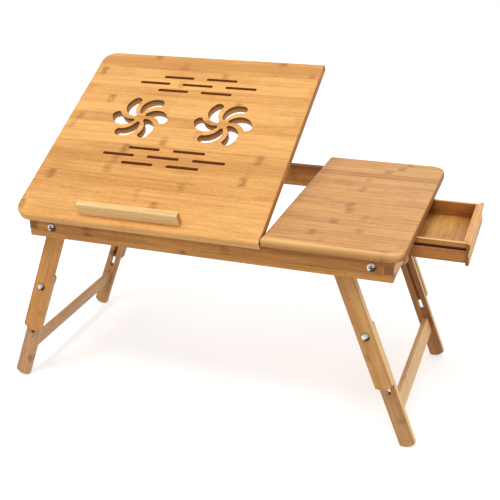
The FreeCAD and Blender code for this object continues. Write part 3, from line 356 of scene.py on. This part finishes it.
def tilt_shade(t, place, facing, colour):
    """Two darker strips of the tilting board, and the browned walls of its vents."""
    x, y, z = place
    for middle, half, share in DARK_STRIPS:
        away = t.math("ABSOLUTE", t.math("SUBTRACT", y, middle))
        near = t.ramp(away, half + STRIP_FADE, half - STRIP_FADE)
        colour = t.mix(t.times(near, share), colour, linear(206, 144, 80))
    off_middle = t.math("ABSOLUTE", t.math("SUBTRACT", y, VENT_MIDDLE))
    aside = t.math("ABSOLUTE", x)
    wall = t.ramp(t.math("ABSOLUTE", facing[2]), 0.75, 0.45)
    inside = t.times(t.ramp(aside, VENTS_HALF_LENGTH + VENT_FADE, VENTS_HALF_LENGTH - VENT_FADE),
                     t.ramp(off_middle, VENTS_HALF_DEPTH + VENT_FADE, VENTS_HALF_DEPTH - VENT_FADE))
    fan = t.mix(t.ramp(z, *FAN_WALL), linear(232, 178, 110), linear(118, 68, 22))
    slot = linear(166, 98, 36)
    vent = t.mix(t.ramp(off_middle, FANS_HALF_DEPTH - VENT_FADE, FANS_HALF_DEPTH + VENT_FADE), fan, slot)
    return t.mix(t.times(wall, inside), colour, vent)


def painted_edge_light(t, place, facing, colour):
    """Painted highlight at the top of a board's rounded front edge, painted shade towards its underside."""
    front = t.times(t.ramp(facing[1], -0.12, -0.55), 0.5)
    height = t.ramp(place[2], EDGE_MARGIN, MM * BOARD_THICK - EDGE_MARGIN)
    return t.mix(front, colour, t.mix(height, linear(150, 92, 40), linear(255, 206, 134)))


def painted_rail_shadow(t, place, facing, colour):
    """Painted shadow on the long rails, darker towards their tops in the corner under the boards."""
    brown = t.ramp(place[1], MM * RAIL_TOP - RAIL_SHADOW_BAND, MM * RAIL_TOP, 0.0, 0.72)
    return t.mix(brown, colour, linear(118, 66, 26))


def painted_corner_shade(t, place, facing, colour):
    """Painted shade in the drawer's inner corners, darker where other parts stand close."""
    return t.mix(t.ramp(t.openness(CORNER_SHADE_REACH), 0.78, 0.25, 0.0, 0.75), colour, linear(112, 60, 20))


def painted_drawer_side_light(t, place, facing, colour):
    """The drawer's sides: painted shade in corners and runner grooves, a painted highlight on the upper
    rims.
    """
    colour = painted_corner_shade(t, place, facing, colour)
    # Painted highlight on the upper rims of the sides.
    colour = t.mix(t.ramp(facing[1], 0.5, 0.9, 0.0, 0.7), colour, linear(250, 208, 144))
    # Painted shade in the runner grooves, by their place in the side.
    level = t.ramp(t.math("ABSOLUTE", place[1]), GROOVE_HALF_HEIGHT + 0.1, GROOVE_HALF_HEIGHT - 0.1)
    aside = t.math("ABSOLUTE", place[2])
    face = MM * DRAWER_HALF_WIDTH
    floor = face - GROOVE_DEPTH
    sunk = t.times(t.ramp(aside, face - 0.1, face - 0.4), t.ramp(aside, floor - 0.3, floor))
    return t.mix(t.times(level, sunk), colour, linear(84, 46, 18))


def painted_leg_side_light(t, place, facing, colour):
    """A painted highlight on the narrow sides of the right legs, paler than their faces."""
    side = t.ramp(t.math("ABSOLUTE", facing[1]), 0.45, 0.85, 0.0, 0.6)
    return t.mix(side, colour, linear(252, 214, 152))


# ---- metal --------------------------------------------------------------------------------------

CLOUD_RATE, SCRATCH_RATE = 260, 1900   # noise cells to the metre
RECESS_REACH = 0.003                   # in metres


def metal(name, tint, roughness, dull_and_shade_tint, cross=False):
    """Plated metal with fine scratches, dulled in patches, with painted shade in recesses and on its right
    and lower sides.

    With cross, painted shade also lies round the cross recess of a bolt's domed head.
    """
    made, t, shader = new_material(name)
    source = t.node("ShaderNodeTexCoord")
    cloud = t.noise(source.outputs["Object"], CLOUD_RATE, 4, 0.6)
    scratch = t.noise(source.outputs["Object"], SCRATCH_RATE, 3, 0.7)
    nx, ny, nz = t.split(source.outputs["Normal"])
    # Painted shade to the right and below and in recesses, on top of randomly dulled patches.
    dull_and_shade = t.ramp(t.math("SUBTRACT", nx, nz), -0.12, 0.40)   # to the right and below
    dull_and_shade = t.math("MAXIMUM", dull_and_shade, t.ramp(cloud, 0.50, 0.80))
    dull_and_shade = t.math("MAXIMUM", dull_and_shade, t.ramp(t.openness(RECESS_REACH), 0.92, 0.62))
    # Painted shade round the cross recess of a domed head.
    if cross:
        wide, high = t.math("ABSOLUTE", nx), t.math("ABSOLUTE", nz)
        arms = t.times(t.ramp(t.math("MINIMUM", wide, high), 0.17, 0.08),
                       t.ramp(t.math("MAXIMUM", wide, high), 0.36, 0.28))
        dull_and_shade = t.math("MAXIMUM", dull_and_shade, t.times(arms, t.ramp(t.math("ABSOLUTE", ny), 0.8, 0.9)))
    roughness = t.math("MULTIPLY_ADD", cloud, 0.10, roughness)
    roughness = t.math("MULTIPLY_ADD", scratch, 0.16, roughness)
    relief = t.bump(scratch, strength=0.12, distance=0.00004)
    t.fill(shader, {"Base Color": t.mix(dull_and_shade, linear(*tint), linear(*dull_and_shade_tint)), "Metallic": 1.0,
                    "Roughness": roughness, "Normal": relief})
    return made


# ---- finishes -----------------------------------------------------------------------------------

TOP = bamboo("tilt_board", ((243, 183, 108), (199, 136, 69), (144, 90, 40), (160, 108, 62)),
             along=X, out=OUT_BOARD, origin=BOARD_FRONT, strip=20.4, seed=0.55, contrast=0.62,
             shade=tilt_shade)
SHELF = bamboo("shelf_board", ((226, 170, 103), (178, 120, 64), (132, 82, 38), (150, 98, 52)),
               along=X, out=Z, origin=SHELF_FRONT, strip=21.5, seed=4.6, contrast=0.45, joints=0.8,
               shade=painted_edge_light)
LEDGE = bamboo("ledge_bar", ((250, 214, 150), (222, 176, 112), (178, 124, 66), (170, 118, 68)),
               along=X, out=OUT_BOARD, origin=BOARD_FRONT, strip=30.0, seed=4.4, contrast=0.15, joints=0.4)
LONG_RAIL = bamboo("long_rail", ((220, 158, 88), (174, 110, 48), (120, 68, 24), (132, 82, 40)),
                   along=X, out=-Y, strip=17.0, seed=5.2, contrast=0.4, shade=painted_rail_shadow)
RAIL_X = bamboo("rail_x", ((218, 152, 78), (166, 100, 38), (116, 64, 22), (132, 82, 40)),
                along=X, out=-Y, strip=17.0, seed=5.2, contrast=0.4)
RAIL_Y = bamboo("rail_y", ((214, 154, 92), (172, 112, 58), (120, 72, 34), (154, 100, 52)),
                along=Y, out=X, strip=17.0, seed=2.4, contrast=0.3)
DRAWER_X = bamboo("drawer_x", ((196, 132, 68), (148, 90, 38), (104, 58, 22), (108, 62, 28)),
                  along=X, out=-Y, origin=GROOVE_MIDDLE, strip=28.0, seed=6.6, contrast=0.2, joints=0.6,
                  shade=painted_drawer_side_light)
DRAWER_Y = bamboo("drawer_y", ((234, 174, 92), (182, 122, 56), (122, 70, 28), (104, 58, 28)),
                  along=Y, out=Z, strip=22.0, seed=9.1, contrast=0.7, joints=0.3, shade=painted_corner_shade)
PANEL = bamboo("drawer_panel", ((244, 184, 116), (204, 142, 82), (140, 88, 42), (118, 70, 38)),
               along=Y, out=Z, strip=22.0, seed=5.1, contrast=0.3, joints=0.3)
PROP = bamboo("prop_bamboo", ((206, 148, 88), (166, 108, 56), (116, 70, 32), (126, 80, 42)),
              along=ALONG_PROP, out=X, strip=9.0, seed=7.7, contrast=0.3)
BAR = bamboo("prop_bars", ((208, 154, 94), (174, 116, 62), (120, 76, 38), (120, 76, 40)),
             along=X, out=Z, strip=8.0, seed=1.1, contrast=0.2, joints=0.3)
KNOB = bamboo("knob_wood", ((228, 174, 106), (198, 140, 76), (150, 98, 48), (206, 150, 86)),
              along=Y, out=X, strip=6.0, seed=3.9, contrast=0.15, joints=0.2)
DOWEL = bamboo("dowel_wood", ((238, 198, 142), (210, 158, 98), (160, 110, 58), (190, 140, 86)),
               along=OUT_BOARD, out=X, strip=6.0, seed=2.9, contrast=0.1, joints=0.0)
LEG_END_GRAIN = (150, 100, 58)


def leg(name, light, dark, seed):
    """Bamboo with its grain along the legs of the hand, left or right, that its name starts with."""
    hand = name.split("_")[0]
    joint = [0.7 * part for part in dark]
    return bamboo(name, (light, dark, joint, LEG_END_GRAIN), along=DOWN_LEG[hand], out=-Y, strip=12.5,
                  seed=seed, contrast=0.3, shade=painted_leg_side_light if hand == "right" else None)


def stretcher(name, light, dark, joint, seed):
    return bamboo(name, (light, dark, joint, LEG_END_GRAIN), along=Y, out=X, strip=24.0, seed=seed,
                  contrast=0.2, joints=0.5)


LEG_FINISHES = {made.name: made for made in (
    leg("left_upper_leg", (226, 162, 90), (178, 116, 54), 1.7),
    leg("left_lower_leg", (228, 180, 130), (188, 138, 92), 2.7),
    # Painted shade: the back legs are darker copies of the leg bamboo, for the shade under the table.
    leg("left_back_leg", (212, 160, 108), (168, 118, 70), 3.7),
    leg("right_upper_leg", (222, 167, 102), (180, 126, 70), 5.7),
    leg("right_lower_leg", (220, 170, 114), (178, 128, 78), 6.7),
    # Painted shade: the right back leg is the darkest copy, deep in the shade under the table.
    leg("right_back_leg", (190, 134, 84), (142, 92, 52), 7.7),
    stretcher("left_stretcher", (212, 166, 120), (176, 132, 88), (140, 92, 54), 8.8),
    stretcher("right_stretcher", (240, 196, 140), (212, 161, 106), (150, 98, 52), 4.8),
)}

STEEL_LOOK = {"tint": (220, 214, 204), "roughness": 0.16, "dull_and_shade_tint": (60, 52, 42)}
STEEL = metal("steel_plated", **STEEL_LOOK)
CROSS_STEEL = metal("steel_cross_heads", **STEEL_LOOK, cross=True)
BRASS = metal("brass_plain", tint=(206, 168, 92), roughness=0.26, dull_and_shade_tint=(120, 90, 44))

# Which node has which finish, by the whole name or, for the knobs and inserts, by its last word.
FINISHES = {name: finish for finish, names in (
    (TOP, ("tilt_top",)),
    (SHELF, ("side_top",)),
    (LEDGE, ("laptop_ledge",)),
    (LONG_RAIL, ("front_rail", "back_rail")),
    (RAIL_X, ("front_corner_block", "back_corner_block", "front_drawer_guide", "back_drawer_guide",
              "prop_batten")),
    (RAIL_Y, ("left_end_rail", "right_end_rail", "left_cross_rail", "right_cross_rail", "middle_divider",
              "left_notch_rack", "right_notch_rack")),
    (DRAWER_X, ("drawer_front_side", "drawer_back_side")),
    (DRAWER_Y, ("drawer_back", "drawer_bottom")),
    (PANEL, ("drawer_front",)),
    (PROP, ("left_prop_arm", "right_prop_arm")),
    (BAR, ("prop_foot_bar", "prop_spreader")),
    (DOWEL, ("ledge_dowels", "leg_stops")),
    (CROSS_STEEL, ("corner_bolts", "left_pivot_bolts")),
    (KNOB, ("knob",)),
    (BRASS, ("insert",)),
) for name in names}


def finish_of(name):
    """The material of a CAD node, from its name. What has no other finish is steel."""
    words = name.split("_")
    if words[-1] == "leg":
        hand, place, level, _ = words
        # The back legs take the darker copies, whose colour is painted shade.
        return LEG_FINISHES[f"{hand}_{'back' if place == 'back' else level}_leg"]
    if words[-1] == "stretcher":
        return LEG_FINISHES[name]
    return FINISHES.get(name) or FINISHES.get(words[-1]) or STEEL


for name, node in NODES.items():
    if not node.data.materials:
        node.data.materials.append(None)
    for slot in node.material_slots:
        slot.material = finish_of(name)


# ---- floor, sky and lamps -----------------------------------------------------------------------

WHITE = (1, 1, 1, 1)
FLOOR_HALF = 9        # half the side of the floor, in metres
FLOOR_DROP = 0.0004   # how far it lies under the feet, in metres
FLOOR_GLOW = 0.46
SKY_SEEN = 1.0        # strength of the sky as the camera sees it
SKY_LIGHT = 0.66      # and as it lights the stand


def paper():
    """White paper that glows a little, so that the floor is as bright as the photo's ground."""
    made, t, shader = new_material("paper")
    t.fill(shader, {"Base Color": (0.80, 0.80, 0.80, 1), "Roughness": 0.9, "Specular IOR Level": 0.1,
                    "Emission Color": WHITE, "Emission Strength": FLOOR_GLOW})
    return made


mesh = bpy.data.meshes.new("floor")
corners = [(x * FLOOR_HALF, y * FLOOR_HALF, 0) for x, y in ((-1, -1), (1, -1), (1, 1), (-1, 1))]
mesh.from_pydata(corners, [], [range(len(corners))])
floor = bpy.data.objects.new("floor", mesh)
floor.data.materials.append(paper())
floor.location.z = -FLOOR_DROP
floor.visible_diffuse = False   # the wood is lit by the lamps and the sky, not by a glowing floor
SCENE.collection.objects.link(floor)

world = bpy.data.worlds.new("studio")
world.use_nodes = True
SCENE.world = world
sky = Tree(world.node_tree)
seen = sky.node("ShaderNodeLightPath").outputs["Is Camera Ray"]
strength = sky.math("MULTIPLY_ADD", seen, SKY_SEEN - SKY_LIGHT, SKY_LIGHT)
sky.fill(world.node_tree.nodes["Background"], {"Color": WHITE, "Strength": strength})


def soft_light(name, place, target, size, power):
    """A round lamp, its size in metres and its power in watts, that faces a target."""
    light = bpy.data.lights.new(name, "AREA")
    light.shape = "DISK"
    light.size = size
    light.energy = power
    holder = bpy.data.objects.new(name, light)
    holder.location = place
    holder.rotation_mode = "QUATERNION"
    holder.rotation_quaternion = (Vector(target) - Vector(place)).to_track_quat("-Z", "Y")
    SCENE.collection.objects.link(holder)


soft_light("key", (-0.1, -1.1, 2.6), (0, 0, 0.25), size=0.9, power=28)
soft_light("fill", (1.9, -0.3, 1.2), (0.1, 0, 0.2), size=1.2, power=6)
soft_light("back", (0.3, 2.0, 1.8), (0, 0, 0.3), size=1.4, power=6)

SCENE.view_settings.view_transform = "Standard"
SCENE.view_settings.look = "None"


# ---- camera, as fitted to the photo -------------------------------------------------------------

YAW, PITCH, ROLL = math.radians(20.0), math.radians(23.91), math.radians(-1.0)
TARGET_HEIGHT = 0.15
DISTANCE, SLIDE_RIGHT, SLIDE_UP = 1.37431, 0.01181, 0.04835   # from the target, in metres
FOCAL_PIXELS, PICTURE_PIXELS = 890.8, 500
SENSOR_WIDTH = 36

back = Vector((math.sin(YAW) * math.cos(PITCH), -math.cos(YAW) * math.cos(PITCH), math.sin(PITCH)))
level_right = (-back).cross(Z).normalized()
level_up = back.cross(level_right)
right = level_right * math.cos(ROLL) + level_up * math.sin(ROLL)
up = level_up * math.cos(ROLL) - level_right * math.sin(ROLL)
target = MIDDLE + TARGET_HEIGHT * Z
place = target + right * SLIDE_RIGHT + up * SLIDE_UP + back * DISTANCE

camera = bpy.data.objects.new("camera", bpy.data.cameras.new("camera"))
camera.data.sensor_width = SENSOR_WIDTH
camera.data.lens = FOCAL_PIXELS / PICTURE_PIXELS * SENSOR_WIDTH
camera.data.clip_start, camera.data.clip_end = 0.05, 60
camera.matrix_world = Matrix.Translation(place) @ Matrix((right, up, back)).transposed().to_4x4()
SCENE.collection.objects.link(camera)
SCENE.camera = camera
